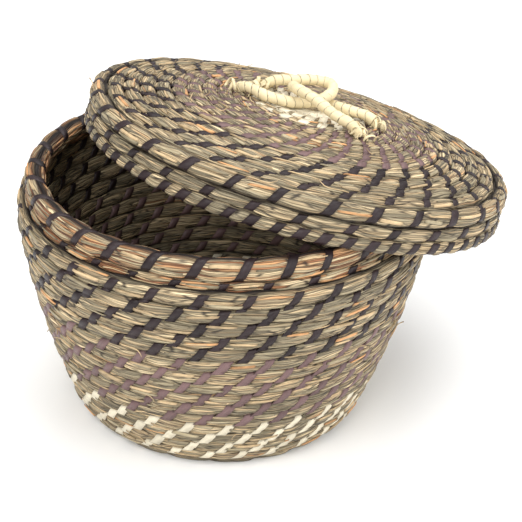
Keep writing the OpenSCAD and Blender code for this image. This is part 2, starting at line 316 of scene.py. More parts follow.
def blades_group():
    """Straw blades lying along the coil: their colours, painted shade in the cracks between them and in the
    grooves and pinches that the Shade input marks, and their height.
    """
    c, s = colours(), sizes()
    tree, ins, outs = group_with(
        "straw blades",
        (("Vector", "Vector", None), ("Warmth", "Float", 0.5), ("Shade", "Float", 0.0)),
        (("Color", "Color"), ("Height", "Float"), ("Roughness", "Float")),
    )
    vector = ins.outputs["Vector"]
    sway = noise(tree, stretched(tree, vector, 0.03, 0.012), 1.0)
    lift = sum_of(tree, "MULTIPLY", sum_of(tree, "SUBTRACT", sway, 0.5), 0.0032)
    offset = add_node(tree, "CombineXYZ", Y=lift).outputs[0]
    swayed = add_node(tree, "VectorMath", {"operation": "ADD"}, i0=vector, i1=offset).outputs[0]
    cells = stretched(tree, swayed, s.blade_length, s.blade_width)
    blade = add_node(
        tree, "TexVoronoi", {"voronoi_dimensions": "2D", "feature": "F1"},
        Vector=cells, Scale=1.0, Randomness=1.0,
    )
    edge = add_node(
        tree, "TexVoronoi", {"voronoi_dimensions": "2D", "feature": "DISTANCE_TO_EDGE"},
        Vector=cells, Scale=1.0, Randomness=1.0,
    ).outputs["Distance"]
    pick = add_node(tree, "SeparateColor", Color=blade.outputs["Color"])
    patch = noise(tree, stretched(tree, vector, 0.06, 0.016), 2.0)
    warmer = sum_of(tree, "SUBTRACT", ins.outputs["Warmth"], 0.84)
    mood = sum_of(tree, "ADD", sum_of(tree, "MULTIPLY", patch, 0.7), warmer)
    warm = sum_of(tree, "ADD", sum_of(tree, "MULTIPLY", pick.outputs[0], 0.62), mood)
    hue = ramp(
        tree, warm,
        (
            (0.0, c.sage), (0.2, c.sage), (0.38, c.straw), (0.55, c.pale),
            (0.72, c.straw), (0.86, c.amber), (1.0, c.rust),
        ),
    )
    tone = sum_of(tree, "MULTIPLY_ADD", pick.outputs[1], 0.7, 0.55)
    fibre = noise(tree, stretched(tree, swayed, 0.03, 0.00035), 2.0, 0.6)
    tone = sum_of(tree, "MULTIPLY", tone, sum_of(tree, "MULTIPLY_ADD", fibre, 0.8, 0.6))
    grey = add_node(tree, "CombineColor", Red=tone, Green=tone, Blue=tone).outputs[0]
    toned = mixed(tree, 1.0, hue, grey, "MULTIPLY")
    locks = stretched(tree, swayed, 1.7 * s.blade_length, 2.7 * s.blade_width)
    parting = add_node(
        tree, "TexVoronoi", {"voronoi_dimensions": "2D", "feature": "DISTANCE_TO_EDGE"},
        Vector=locks, Scale=1.0, Randomness=1.0,
    ).outputs["Distance"]
    # Painted shade: darker towards the cracks between blades and between locks, and where the Shade input is
    # high.
    split = sum_of(tree, "MULTIPLY_ADD", between(tree, edge, 0.0, 0.16), 0.72, 0.28)
    apart = sum_of(tree, "MULTIPLY_ADD", between(tree, parting, 0.0, 0.06), 0.85, 0.15)
    opened = sum_of(tree, "MULTIPLY", split, apart)
    shade = sum_of(tree, "MULTIPLY", opened, sum_of(tree, "SUBTRACT", 1.0, ins.outputs["Shade"]))
    tree.links.new(mixed(tree, shade, (*c.painted_shade, 1), toned), outs.inputs["Color"])
    crown = sum_of(tree, "MULTIPLY", between(tree, edge, 0.0, 0.3), 0.7)
    rise = sum_of(tree, "MULTIPLY_ADD", fibre, 0.25, crown)
    rise = sum_of(tree, "MULTIPLY_ADD", pick.outputs[2], 0.4, rise)
    rise = sum_of(tree, "MULTIPLY_ADD", between(tree, parting, 0.0, 0.25), 0.8, rise)
    tree.links.new(rise, outs.inputs["Height"])
    tree.links.new(sum_of(tree, "MULTIPLY_ADD", pick.outputs[1], 0.22, 0.46), outs.inputs["Roughness"])
    return tree


def fibres_group():
    """A flat strip of leaf: streaks along it, its own tint, painted shade where the Shade input marks its ends
    and lapped edges, and its height.
    """
    tree, ins, outs = group_with(
        "strip fibres",
        (
            ("Vector", "Vector", None), ("Base", "Color", None), ("Tint", "Float", 0.5),
            ("Contrast", "Float", 0.5), ("Shade", "Float", 0.0),
        ),
        (("Color", "Color"), ("Height", "Float"), ("Roughness", "Float")),
    )
    vector = ins.outputs["Vector"]
    streak = noise(tree, stretched(tree, vector, 0.0005, 0.02), 3.0, 0.6)
    blotch = noise(tree, stretched(tree, vector, 0.004, 0.006), 2.0)
    spread = sum_of(tree, "SUBTRACT", streak, 0.5)
    for value, weight in ((blotch, 0.5), (ins.outputs["Tint"], 0.7)):
        swing = sum_of(tree, "SUBTRACT", value, 0.5)
        spread = sum_of(tree, "ADD", spread, sum_of(tree, "MULTIPLY", swing, weight))
    tone = sum_of(tree, "MULTIPLY_ADD", spread, ins.outputs["Contrast"], 1.0)
    grey = add_node(tree, "CombineColor", Red=tone, Green=tone, Blue=tone).outputs[0]
    toned = mixed(tree, 1.0, ins.outputs["Base"], grey, "MULTIPLY")
    # Painted shade: mixes toward the painted shade colour where the Shade input is high.
    tree.links.new(mixed(tree, ins.outputs["Shade"], toned, (*colours().painted_shade, 1)), outs.inputs["Color"])
    tree.links.new(streak, outs.inputs["Height"])
    tree.links.new(sum_of(tree, "MULTIPLY_ADD", streak, 0.25, 0.3), outs.inputs["Roughness"])
    return tree


def group_node(tree, group, **inputs):
    node = tree.nodes.new("ShaderNodeGroup")
    node.node_tree = group
    for key, value in inputs.items():
        if isinstance(value, bpy.types.NodeSocket):
            tree.links.new(value, node.inputs[key])
        else:
            node.inputs[key].default_value = value
    return node


def finish_with(name, group, depth, values, sheen=0.0, specular=0.5):
    """A material whose colour, roughness and bump come from one of the groups."""
    material = bpy.data.materials.new("woven " + name)
    material.use_nodes = True
    tree = material.node_tree
    shader = tree.nodes["Principled BSDF"]
    where = add_node(tree, "UVMap", {"uv_map": "lay"}).outputs[0]
    inputs = dict(values)
    for key, value in values.items():
        if isinstance(value, str):
            inputs[key] = add_node(tree, "Attribute", {"attribute_name": value}).outputs["Fac"]
    look = group_node(tree, group, Vector=where, **inputs)
    bump = add_node(tree, "Bump", Height=look.outputs["Height"], Distance=depth, Strength=1.0)
    tree.links.new(look.outputs["Color"], shader.inputs["Base Color"])
    tree.links.new(look.outputs["Roughness"], shader.inputs["Roughness"])
    tree.links.new(bump.outputs["Normal"], shader.inputs["Normal"])
    shader.inputs["Specular IOR Level"].default_value = specular
    shader.inputs["Sheen Weight"].default_value = sheen
    return material


def make_materials():
    c = colours()
    blades, fibres = blades_group(), fibres_group()
    for name in ("straw", "gold straw"):
        finish_with(name, blades, 0.0007, {"Warmth": "warmth", "Shade": "shade"}, specular=0.35)
    for name, base, contrast, specular in (
        ("dark strip", c.dark, 0.9, 0.3),
        ("mauve strip", c.mauve, 0.6, 0.3),
        ("cream strip", c.cream, 0.35, 0.3),
        ("handle strip", c.handle, 0.25, 0.35),
        ("pale blade", c.straw, 1.0, 0.25),
        ("amber blade", c.amber, 0.9, 0.25),
        ("sage blade", c.sage, 1.0, 0.25),
    ):
        values = {"Base": (*base, 1), "Tint": "tint", "Contrast": contrast, "Shade": "shade"}
        finish_with(name, fibres, 0.0002, values, specular=specular)


# ---- the coil ----


class Round:
    """One round of the coil: where it runs, its section, and where its stitches cross it."""

    def __init__(self, radius, height, half, press, face, count, shift, arc, lean, seed, warmth=0.5):
        rng = np.random.default_rng(seed)
        self.radius, self.height, self.half, self.press, self.face = radius, height, half, press, face
        self.count, self.shift, self.arc, self.lean = count, shift, arc, lean
        self.seed, self.warmth = seed, warmth
        spacing = math.tau / count
        self.places = spacing * (np.arange(count) + shift + rng.uniform(-0.06, 0.06, count))
        self.widths = sizes().strip_width * rng.uniform(0.86, 1.1, count)
        self.tints = rng.uniform(0, 1, count)

    def swing(self, around):
        """How far a stitch has moved along the coil, at an angle round the coil."""
        middle = math.radians(sum(self.arc) / 2)
        turned = (around - middle + math.pi) % math.tau - math.pi
        front = np.abs(turned) <= math.radians(self.arc[1] - self.arc[0]) / 2 + 0.3
        inner = (turned + math.tau) % math.tau - math.pi
        return self.half * math.tan(self.lean) * np.where(front, turned, inner)

    def reach(self, around, far):
        """From the coil's middle to its surface, at an angle round it and a distance from a stitch."""
        s = sizes()
        turned = around - self.face
        n = 3.0
        body = (np.abs(np.cos(turned) / self.half) ** n + np.abs(np.sin(turned) / self.press) ** n) ** (-1 / n)
        span = math.tau * self.radius / self.count
        near = np.exp(-((far / (0.62 * s.strip_width)) ** 4))
        swell = np.cos(math.pi * np.clip(far / span, -0.5, 0.5)) * -1 + 1
        return body + s.bulge * (np.minimum(swell * 1.6, 1) - 0.4) - s.pinch * near

    def to_stitch(self, turn, around):
        """Distance along the coil from the nearest stitch's middle line."""
        local = self.radius + self.half * np.cos(around)
        centre = turn - self.swing(around) / local
        index = np.round(centre * self.count / math.tau - self.shift).astype(int) % self.count
        return ((centre - self.places[index] + math.pi) % math.tau - math.pi) * local

    def point(self, turn, around, reach):
        out = self.radius + reach * np.cos(around)
        return np.stack([out * np.cos(turn), out * np.sin(turn), self.height + reach * np.sin(around)], -1)


def ridges(seed, turn, around):
    """The wavering ridges of blades lying along a round, from -1 to 1."""
    rng = np.random.default_rng(seed + 500)
    total = np.zeros_like(turn)
    for blades, weight in ((11, 0.4), (15, 0.35), (19, 0.25)):
        a, b, c, d = rng.uniform(0, math.tau, 4)
        slow, quick = rng.integers(2, 7), rng.integers(9, 21)
        drift = 1.6 * np.sin(slow * turn + b) + 0.7 * np.sin(quick * turn + c)
        total += weight * (2 * np.abs(np.cos((blades * around + drift + a) / 2)) - 1.27)
        total += 0.5 * weight * np.sin(quick * 2 * turn + 3 * around + d)
    return total


def coords(mesh):
    co = np.empty(len(mesh.vertices) * 3, np.float32)
    mesh.vertices.foreach_get("co", co)
    return co.reshape(-1, 3).astype(float)


def set_coords(mesh, co):
    mesh.vertices.foreach_set("co", co.astype(np.float32).ravel())
    mesh.update()


def set_attribute(mesh, name, values):
    attribute = mesh.attributes.new(name, "FLOAT", "POINT")
    attribute.data.foreach_set("value", values.astype(np.float32).ravel())


def corner_vertices(mesh):
    """The vertex that each corner of the mesh's faces stands on."""
    corner = np.empty(len(mesh.loops), np.int32)
    mesh.loops.foreach_get("vertex_index", corner)
    return corner


def lay_out(mesh, lay):
    """Gives the mesh the flat layout that its straw or strip pattern follows."""
    mesh.uv_layers.new(name="lay").data.foreach_set("uv", lay.astype(np.float32).ravel())


def mesh_from(bm, name):
    mesh = bpy.data.meshes.new(name)
    bm.to_mesh(mesh)
    bm.free()
    return mesh


class Blank:
    """A plain ring spun from a circle, and the angles round it and its section at vertices and corners."""

    def __init__(self, sides, steps):
        bm = bmesh.new()
        upright = Matrix.Translation((10, 0, 0)) @ Matrix.Rotation(math.pi / 2, 4, "X")
        section = bmesh.ops.create_circle(bm, segments=sides, radius=1, matrix=upright)["verts"]
        bmesh.ops.spin(
            bm, geom=section + bm.edges[:], cent=(0, 0, 0), axis=(0, 0, 1), dvec=(0, 0, 0),
            angle=math.tau, steps=steps, use_merge=True,
        )
        bmesh.ops.recalc_face_normals(bm, faces=bm.faces)
        self.mesh = mesh_from(bm, "blank")
        co = coords(self.mesh)
        self.turn = (np.arctan2(co[:, 1], co[:, 0]) + 1e-4) % math.tau - 1e-4
        self.around = (np.arctan2(co[:, 2], np.hypot(co[:, 0], co[:, 1]) - 10) + 1e-4) % math.tau - 1e-4
        corner = corner_vertices(self.mesh)
        self.corners = [angle[corner].reshape(-1, 4) for angle in (self.turn, self.around)]
        for angle in self.corners:
            angle[angle.max(1, keepdims=True) - angle > math.pi] += math.tau


def straw_round(place, blank):
    """The straw of one round: a blank ring pinched at each stitch and ridged by its blades."""
    mesh = blank.mesh.copy()
    start, back = place.places[0], place.face + math.pi
    turn = blank.turn + start
    around = blank.around + back
    far = place.to_stitch(turn, around)
    open_share = np.clip(np.abs(far) / (0.5 * sizes().strip_width) - 0.6, 0.15, 1)
    reach = place.reach(around, far) + sizes().ridge * ridges(place.seed, turn, around) * open_share
    set_coords(mesh, place.point(turn, around, reach))
    # Painted shade: darker in the grooves where the round meets its neighbours, and in a line beside each
    # strip's edge where the straw dives under it.
    facing = np.abs(np.cos(around - place.face))
    shade = np.clip((0.62 - facing) / 0.45, 0, 1)
    beside = np.exp(-(((np.abs(far) - 0.5 * sizes().strip_width) / 0.0007) ** 2))
    set_attribute(mesh, "shade", np.maximum(shade, 0.45 * beside))
    set_attribute(mesh, "warmth", np.full(len(turn), place.warmth))
    lay_turn, lay_around = blank.corners
    lay = np.stack([lay_turn * place.radius, lay_around * place.half + 0.05 * (place.seed % 97)], -1)
    lay_out(mesh, lay)
    return mesh


def strip_template():
    """A flat strip one unit long, wide and thick, for one stitch."""
    bm = bmesh.new()
    bmesh.ops.create_grid(bm, x_segments=2, y_segments=9, size=0.5)
    top = bmesh.ops.extrude_face_region(bm, geom=bm.faces[:], use_keep_orig=True)["geom"]
    bmesh.ops.translate(bm, verts=[v for v in top if isinstance(v, bmesh.types.BMVert)], vec=(0, 0, 1))
    bmesh.ops.recalc_face_normals(bm, faces=bm.faces)
    return mesh_from(bm, "strip")


def strips_round(place, template, arc=None, into=None):
    """The strips of one round, each laid over the coil and, where a neighbour is given, sewn down into it."""
    s = sizes()
    bm = bmesh.new()
    for _ in range(place.count):
        bm.from_mesh(template)
    mesh = mesh_from(bm, "strips")
    co = coords(mesh).reshape(place.count, -1, 3)
    across, share, level = co[..., 0], co[..., 1] + 0.5, co[..., 2]
    low, high = (math.radians(a) for a in arc or place.arc)
    if into is not None:
        toward = math.atan2(into.height - place.height, into.radius - place.radius)
        if abs(math.remainder(toward - low, math.tau)) > abs(math.remainder(toward - high, math.tau)):
            low, high = high, low
        back = math.remainder(toward + math.pi - into.face, math.tau)
        pierced = into.face + 0.42 * back
    sewn = 0.34 if into is not None else 0.0
    down = np.clip(1 - share / sewn, 0, 1) if into is not None else np.zeros_like(share)
    around = low + (high - low) * np.clip((share - sewn) / (1 - sewn), 0, 1)
    width = place.widths[:, None] / math.cos(place.lean)
    far = across * width
    rise = s.strip_thickness * (level * 1.6 - 0.6) + 0.0002 * (1 - (2 * across) ** 2) * level
    ends = np.abs(2 * share - 1) ** 8
    reach = place.reach(around, far) + rise - 0.0011 * ends
    out = place.radius + reach * np.cos(around)
    up = place.height + reach * np.sin(around)
    swing = place.swing(around)
    if into is not None:
        deep = into.reach(np.full_like(down, pierced), np.full_like(down, 0.01)) + rise - 0.0012 * ends
        there = into.radius + deep * math.cos(pierced), into.height + deep * math.sin(pierced)
        gap = np.hypot(there[0] - out, there[1] - up)
        swing += math.copysign(math.tan(place.lean), low - high) * down * gap
        out += down * (there[0] - out)
        up += down * (there[1] - up)
    turn = place.places[:, None] + (swing + far) / out
    set_coords(mesh, np.stack([out * np.cos(turn), out * np.sin(turn), up], -1).reshape(-1, 3))
    set_attribute(mesh, "tint", np.repeat(place.tints, co.shape[1]))
    # Painted shade at both ends of the strip, where it dives in between the rounds.
    set_attribute(mesh, "shade", 0.55 * ends)
    length = share * (abs(high - low) * place.half + 0.005)
    lay = np.stack([far + 0.013 * np.arange(place.count)[:, None], length + 0.03 * (place.seed % 89)], -1)
    lay_out(mesh, lay.reshape(-1, 2)[corner_vertices(mesh)])
    return mesh


def blades_round(place, template, share, seed, width=(0.7, 1.7), stray=0.0006):
    """Single blades of straw on a round between its stitches; one end may stray outward by this much."""
    s = sizes()
    rng = np.random.default_rng(seed + place.seed)
    chosen = np.flatnonzero(rng.random(place.count) < share)
    count = len(chosen)
    bm = bmesh.new()
    for _ in range(count):
        bm.from_mesh(template)
    mesh = mesh_from(bm, "blades")
    co = coords(mesh).reshape(count, -1, 3)
    across, along, level = co[..., 0], co[..., 1], co[..., 2]
    one = lambda low, high: rng.uniform(low, high, (count, 1))
    span = math.tau * place.radius / place.count
    spread = one(-0.85, 0.85)
    around = place.face + spread + across * one(*width) * s.blade_width / place.half
    around = around + along * one(-0.3, 0.3)
    middle = 0.5 * span + one(-0.12, 0.12) * span
    far = middle + along * one(0.5, 0.82) * span
    lift = one(-0.0001, 0.0003) + one(0, stray) * np.clip(along * rng.choice((-2, 2), (count, 1)), 0, 1) ** 3
    crown = 0.00025 * (1 - (2 * across) ** 2) * level
    rise = lift + 0.0005 * (level - 1) + crown - 0.0006 * np.abs(2 * along) ** 8
    local = place.radius + place.half * np.cos(around)
    turn = place.places[chosen][:, None] + (place.swing(around) + far) / local
    reach = place.reach(around, np.full_like(around, 0.5 * span)) + s.ridge * 0.4 + rise
    set_coords(mesh, place.point(turn, around, reach).reshape(-1, 3))
    set_attribute(mesh, "tint", np.repeat(rng.uniform(0, 1, count), co.shape[1]))
    # Painted shade at both ends of the blade, where it sinks into the straw.
    set_attribute(mesh, "shade", 0.4 * np.abs(2 * along) ** 6)
    lay = np.stack([across * 0.002 + 0.01 * np.arange(count)[:, None], along * span], -1)
    lay_out(mesh, lay.reshape(-1, 2)[corner_vertices(mesh)])
    return mesh


def piece(name, meshes, material, body, nodes=(), place=None):
    """One object from these meshes, with its material, riding on a body in place of CAD nodes."""
    bm = bmesh.new()
    for mesh in meshes:
        bm.from_mesh(mesh)
        bpy.data.meshes.remove(mesh)
    if place is not None:
        bmesh.ops.transform(bm, matrix=place, verts=bm.verts)
    mesh = mesh_from(bm, name)
    mesh.materials.append(bpy.data.materials["woven " + material])
    mesh.shade_smooth()
    thing = bpy.data.objects.new(name, mesh)
    bpy.context.scene.collection.objects.link(thing)
    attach(thing, body)
    if nodes:
        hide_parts(*nodes)
    return thing


def wall_outline():
    """Radius and height along the wall, and how far along it each of its points is."""
    rise = WALL_TOP_Z - BASE_Z
    points = np.array([(RIM_RADIUS - inside, BASE_Z + share * rise) for share, inside in UP_THE_WALL])
    run = np.concatenate([[0], np.cumsum(np.hypot(*np.diff(points, axis=0).T))])
    return points, run


def base_rounds():
    """The base's rounds from the outermost in; the outermost also shows at the foot of the wall."""
    s = sizes()
    return [
        Round(
            BASE_RADIUS - i * BASE_PITCH, BASE_Z, BASE_HALF,
            BASE_PITCH / 2 + 0.0001, -math.pi / 2 if i else -0.6,
            s.few_stitches if i < BASE_ROUNDS - 3 else 8, s.stitch_step * i, (30, 150), 0, 90 + i, 0.45,
        )
        for i in range(BASE_ROUNDS + 1)
    ]


def wall_rounds():
    """The wall's rounds from the base up, then the thin round and the rim."""
    s = sizes()
    points, run = wall_outline()
    pitch = run[-1] / WALL_ROUNDS
    at = lambda i: (np.interp(i * pitch, run, points[:, 0]), np.interp(i * pitch, run, points[:, 1]))
    rounds = []
    for i in range(1, WALL_ROUNDS + 1):
        (r0, z0), (r, z), (r1, z1) = at(i - 1), at(i), at(min(i + 1, WALL_ROUNDS))
        face = math.atan2(r0 - r1, z1 - z0)
        warmth = (0.46, 0.62, 0.5, 0.4, 0.55, 0.48, 0.42, 0.6)[i % 8]
        rounds.append(Round(
            r, z, WALL_HALF, pitch / 2 + 0.0001, face,
            s.stitches, s.stitch_step * i, (-62, 62), s.lean, 10 + i, warmth,
        ))
    shift = s.stitch_step * (WALL_ROUNDS + 1)
    rounds.append(Round(
        BAND_RADIUS, BAND_MIDDLE.z, BAND_HALF, BAND_HALF, 0.1, s.stitches, shift, (-62, 62), s.lean, 40, 1.0
    ))
    shift = s.stitch_step * (WALL_ROUNDS + 2)
    rounds.append(Round(
        RIM_RADIUS, RIM_MIDDLE.z, RIM_HALF, RIM_HALF, 0.2, s.stitches, shift, (-70, 190), 0.9 * s.lean, 41, 1.0
    ))
    return rounds


def lid_top_rounds():
    s = sizes()
    rounds = []
    for i in range(LID_ROUNDS + 1):
        r = LID_OUTER - i * LID_PITCH
        z = LID_HEIGHT - LID_HALF - DOME_RISE * (r / SHOULDER_RADIUS) ** 2
        face = math.pi / 2 - math.atan(2 * DOME_RISE * r / SHOULDER_RADIUS**2)
        count = s.stitches if i < LID_DARK + LID_MAUVE else s.few_stitches
        warmth = (0.56, 0.5, 0.66, 0.52)[i % 4]
        rounds.append(Round(
            r, z, LID_HALF, LID_PITCH / 2 + 0.0001, face, count, 0.5 + s.stitch_step * (i + 2),
            (28, 152), s.lean, 60 + i, warmth,
        ))
        if LID_DARK <= i < LID_DARK + LID_MAUVE:
            rounds[-1].widths *= max(0.65, min(1, 10 * r))
    return rounds


class SEAGRASS_OT_base(bpy.types.Operator):
    """Adds the rounds that the basket stands on, and their stitches"""

    bl_idname = "seagrass.base"
    bl_label = "Base"

    def execute(self, context):
        rounds = base_rounds()
        blank = Blank(28, 160)
        straw = piece(
            "base_straw", [straw_round(r, blank) for r in rounds], "straw", "basket", ["base_coil"]
        )
        template = strip_template()
        sewn = [strips_round(r, template, arc) for r in rounds[1:-1] for arc in ((30, 150), (-150, -30))]
        strips = piece("base_strips", sewn, "cream strip", "basket", ["base_stitches"])
        for thing in (straw, strips):
            co = coords(thing.data)
            co[:, 2] = np.maximum(co[:, 2], 0)
            set_coords(thing.data, co)
        return {"FINISHED"}


class SEAGRASS_OT_wall(bpy.types.Operator):
    """Adds the wall's rounds in three zones, by the colour of the strips that sew them"""

    bl_idname = "seagrass.wall"
    bl_label = "Wall"

    def execute(self, context):
        rounds = wall_rounds()
        template, blank = strip_template(), Blank(48, 336)
        beneath = [base_rounds()[0], *rounds]
        low, middle = CREAM_ROUNDS, CREAM_ROUNDS + MAUVE_ROUNDS
        for zone, colour_name, first, last in (
            ("lower", "cream", 0, low), ("middle", "mauve", low, middle), ("upper", "dark", middle, WALL_ROUNDS)
        ):
            own = rounds[first:last]
            piece(
                f"wall_straw_{zone}", [straw_round(r, blank) for r in own],
                "straw", "basket", [f"wall_coil_{zone}"],
            )
            piece(
                f"wall_strips_{colour_name}",
                [strips_round(r, template, (-52, 66), below) for r, below in zip(own, beneath[first:last])]
                + [strips_round(r, template, (114, 246)) for r in own],
                f"{colour_name} strip", "basket", [f"wall_stitches_{colour_name}"],
            )
        return {"FINISHED"}


class SEAGRASS_OT_rim(bpy.types.Operator):
    """Adds the thick rim and the thin round under it"""

    bl_idname = "seagrass.rim"
    bl_label = "Rim"

    def execute(self, context):
        band, rim = wall_rounds()[-2:]
        template = strip_template()
        piece("band_straw", [straw_round(band, Blank(32, 336))], "gold straw", "basket", ["band_coil_thin"])
        piece("band_strips", [strips_round(band, template)], "dark strip", "basket", ["band_stitches"])
        piece("rim_straw", [straw_round(rim, Blank(64, 400))], "gold straw", "basket", ["rim_coil_thick"])
        piece("rim_strips", [strips_round(rim, template)], "dark strip", "basket", ["rim_stitches"])
        return {"FINISHED"}


class SEAGRASS_OT_lid_edge(bpy.types.Operator):
    """Adds the three rounds of the lid's edge: bottom, side and shoulder"""

    bl_idname = "seagrass.lid_edge"
    bl_label = "Lid edge"

    def execute(self, context):
        s = sizes()
        template, blank = strip_template(), Blank(52, 400)
        for name, radius, height, half, face, count, shift, arc, lean, warmth in (
            ("hem", HEM_RADIUS, HEM_HALF, HEM_HALF, 0.0, 2 * s.stitches, 0.0, (-125, 62), s.lean, 0.5),
            ("side", SIDE_RADIUS, SIDE_Z, SIDE_HALF, 0.0, s.stitches, 0.5, (-64, 64), s.lean, 0.46),
            (
                "shoulder", SHOULDER_RADIUS, SHOULDER_Z, SHOULDER_HALF, 0.6,
                s.stitches, 0.5 + s.stitch_step, (-56, 120), s.lean, 0.6,
            ),
        ):
            seed = 200 + count + int(half * 1e4)
            place = Round(radius, height, half, half - 0.0002, face, count, shift, arc, lean, seed, warmth)
            finish = "gold straw" if name == "shoulder" else "straw"
            piece(
                f"lid_straw_{name}", [straw_round(place, blank)], finish, "lid", [f"lid_coil_{name}"], LID_FRAME
            )
            piece(
                f"lid_strips_{name}", [strips_round(place, template)],
                "dark strip", "lid", [f"lid_stitches_{name}"], LID_FRAME,
            )
        return {"FINISHED"}


class SEAGRASS_OT_lid_top(bpy.types.Operator):
    """Adds the rounds of the lid's top in three zones, by the colour of their strips"""

    bl_idname = "seagrass.lid_top"
    bl_label = "Lid top"

    def execute(self, context):
        rounds = lid_top_rounds()
        template = strip_template()
        middle = LID_DARK + LID_MAUVE
        for zone, colour_name, first, last, steps in (
            ("outer", "dark", 0, LID_DARK, 336),
            ("middle", "mauve", LID_DARK, middle, 240),
            ("centre", "cream", middle, LID_ROUNDS + 1, 120),
        ):
            own, blank = rounds[first:last], Blank(44, steps)
            piece(
                f"lid_straw_{zone}",
                [straw_round(r, blank) for r in own],
                "straw", "lid", [f"lid_coil_{zone}"], LID_FRAME,
            )
            sewn = [i for i in range(first, last) if rounds[i].radius > 1.5 * LID_PITCH]
            piece(
                f"lid_strips_{colour_name}",
                [strips_round(rounds[i], template, (28, 142), rounds[i + 1]) for i in sewn]
                + [strips_round(rounds[i], template, (208, 332)) for i in sewn],
                f"{colour_name} strip", "lid", [f"lid_stitches_{colour_name}"], LID_FRAME,
            )
        return {"FINISHED"}


# ---- handle ----


def spline(points, count):
    """Points evenly spaced along a smooth curve through all but the first and last of these."""
    p = np.array(points)
    fine = []
    for i in range(1, len(p) - 2):
        t = np.linspace(0, 1, 40, endpoint=False)[:, None]
        fine.append(
            p[i] + (p[i + 1] - p[i - 1]) / 2 * t
            + (2 * p[i - 1] - 5 * p[i] + 4 * p[i + 1] - p[i + 2]) / 2 * t**2
            + (3 * p[i] - p[i - 1] - 3 * p[i + 1] + p[i + 2]) / 2 * t**3
        )
    fine = np.concatenate([*fine, p[-2:-1]])
    run = np.concatenate([[0], np.cumsum(np.linalg.norm(np.diff(fine, axis=0), axis=1))])
    where = np.linspace(0, run[-1], count)
    return np.stack([np.interp(where, run, fine[:, k]) for k in range(3)], -1), run[-1]


def carried_frames(line):
    """The line's heading at each point, and two directions square to it that don't twist."""
    heading = np.gradient(line, axis=0)
    heading /= np.linalg.norm(heading, axis=1)[:, None]
    side = np.empty_like(heading)
    carried = np.array((0.0, 1.0, 0.0))
    for i, ahead in enumerate(heading):
        carried = carried - ahead * carried.dot(ahead)
        carried /= np.linalg.norm(carried)
        side[i] = carried
    return heading, side, np.cross(heading, side)


def wrapped_rope(route, seed):
    """A rope wound with a flat strip, each turn lapping over the edge of the one before."""
    rings, sides = WRAP_TURNS * 14, 24
    line, length = spline(route, rings + 1)
    heading, side, other = carried_frames(line)
    bm = bmesh.new()
    bmesh.ops.create_grid(bm, x_segments=rings, y_segments=sides, size=0.5)
    mesh = mesh_from(bm, "rope")
    co = coords(mesh)
    along, around = co[:, 0] + 0.5, co[:, 1] + 0.5
    index = np.rint(along * rings).astype(int)
    rng = np.random.default_rng(seed)
    sway = np.interp(along, np.linspace(0, 1, 14), rng.uniform(-0.25, 0.25, 14))
    turns = along * WRAP_TURNS + 0.35 * np.cos(math.tau * around) + sway
    lap = turns % 1
    reach = ROPE_HALF + 0.0005 + 0.0006 * lap - 0.0005 * np.clip((lap - 0.93) / 0.07, 0, 1)
    reach *= 1 + 0.05 * np.sin(math.tau * turns / 3.1 + seed)
    angle = (math.tau * around)[:, None]
    points = line[index] + reach[:, None] * (np.cos(angle) * side[index] + np.sin(angle) * other[index])
    set_coords(mesh, points)
    rng = np.random.default_rng(seed + 1)
    set_attribute(mesh, "tint", rng.uniform(0.2, 0.8, WRAP_TURNS + 3)[np.floor(turns).astype(int)])
    # Painted shade in a thin dark line where each turn laps over the one before.
    set_attribute(mesh, "shade", 0.75 * (np.abs(lap - 0.5) > 0.46))
    lay = np.stack([turns * length / WRAP_TURNS, around * math.tau * ROPE_HALF], -1)
    lay_out(mesh, lay[corner_vertices(mesh)])
    bm = bmesh.new()
    bm.from_mesh(mesh)
    bpy.data.meshes.remove(mesh)
    bmesh.ops.remove_doubles(bm, verts=bm.verts, dist=1e-6)
    bmesh.ops.holes_fill(bm, edges=[e for e in bm.edges if e.is_boundary], sides=0)
    bmesh.ops.recalc_face_normals(bm, faces=bm.faces)
    return mesh_from(bm, "rope")


def curl(middle, radius, width, sweep, tilt, heading, drift=0.0, tint=0.5):
    """A loop of flat strip standing on the lid: a short edge spun part of the way round."""
    bm = bmesh.new()
    ends = [bm.verts.new((radius, 0, z)) for z in (-width / 2, width / 2)]
    edge = bm.edges.new(ends)
    bmesh.ops.spin(
        bm, geom=[*ends, edge], cent=(0, 0, 0), axis=(0, 0, 1), dvec=(0, 0, drift / 16),
        angle=sweep, steps=16, use_merge=False,
    )
    bmesh.ops.solidify(bm, geom=bm.faces[:], thickness=0.0005)
    place = (
        HANDLE_FRAME @ Matrix.Translation(middle) @ Matrix.Rotation(heading, 4, "Z")
        @ Matrix.Rotation(math.pi / 2 + tilt, 4, "X") @ Matrix.Rotation(-sweep / 2 + math.pi / 2, 4, "Z")
    )
    bmesh.ops.transform(bm, matrix=place, verts=bm.verts)
    bmesh.ops.recalc_face_normals(bm, faces=bm.faces)
    layer = bm.loops.layers.uv.new("lay")
    for face in bm.faces:
        for loop in face.loops:
            loop[layer].uv = (loop.vert.co.z * 2, loop.vert.co.x + loop.vert.co.y)
    mesh = mesh_from(bm, "curl")
    set_attribute(mesh, "tint", np.full(len(mesh.vertices), tint))
    set_attribute(mesh, "shade", np.zeros(len(mesh.vertices)))
    return mesh


